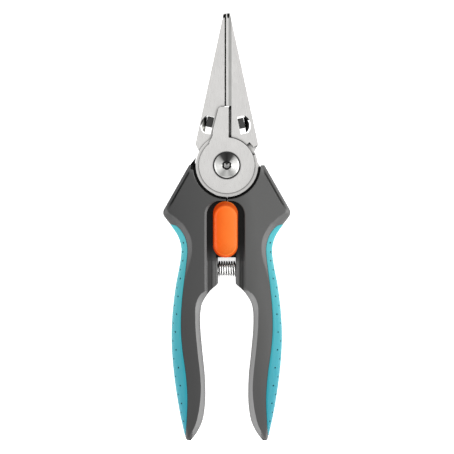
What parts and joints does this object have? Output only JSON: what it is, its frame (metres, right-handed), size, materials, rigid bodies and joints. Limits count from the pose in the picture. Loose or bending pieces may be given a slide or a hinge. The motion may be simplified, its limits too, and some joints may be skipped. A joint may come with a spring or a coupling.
{
  "type": "floral snips",
  "caption": "Hand-held floral snips with two slim lapped blades on a screw pivot, moulded handles with soft grips, a return spring and a sliding thumb lock.",
  "frame": {"origin": "on the pivot axis, in the plane that the closed tool lies on, which is the flat back face of the pivot nut", "axes": "+X to the right of the tool seen from its front, +Y from the pivot to the blade tips, +Z out of the front, along the pivot axis"},
  "size_m": [0.0572, 0.1924, 0.015],
  "materials": {
    "blade_steel": "satin ground stainless steel with fine grain along the blade",
    "screw_steel": "turned steel, bright",
    "nut_steel": "turned steel",
    "washer_black": "blackened steel",
    "cover_grey": "dark grey moulded nylon, fine even texture",
    "core_black": "black glass-filled nylon",
    "grip_teal": "soft turquoise elastomer with rows of small dimples",
    "button_orange": "orange moulded plastic, satin gloss",
    "spring_steel": "drawn spring wire",
    "buffer_black": "black rubber"
  },
  "bodies": {
    "left_half": {"back_blade": "blade_steel", "back_blade_buffer": "buffer_black", "pivot_screw": "screw_steel", "head_washer": "washer_black", "cone_washer": "spring_steel", "pivot_nut": "nut_steel", "return_spring": "spring_steel", "left_handle_core": "core_black", "left_front_cover": "cover_grey", "left_back_cover": "cover_grey", "left_soft_grip": "grip_teal", "left_spring_seat": "core_black", "left_tang_rivets": "nut_steel"},
    "right_half": {"front_blade": "blade_steel", "front_blade_buffer": "buffer_black", "right_handle_core": "core_black", "right_front_cover": "cover_grey", "right_back_cover": "cover_grey", "right_soft_grip": "grip_teal", "right_spring_seat": "core_black", "right_tang_rivets": "nut_steel", "lock_pin": "nut_steel"},
    "lock": {"lock_button": "button_orange", "lock_slider": "core_black"}
  },
  "joints": [
    {"name": "blade_pivot", "type": "hinge", "parent": "left_half", "child": "right_half", "pos_m": [0, 0, 0.00725], "axis": [0, 0, 1], "range_deg": [0, 24], "deforming": ["return_spring"]},
    {"name": "lock_slide", "type": "slide", "parent": "left_half", "child": "lock", "axis": [0, -1, 0], "range_m": [0, 0.007]}
  ]
}
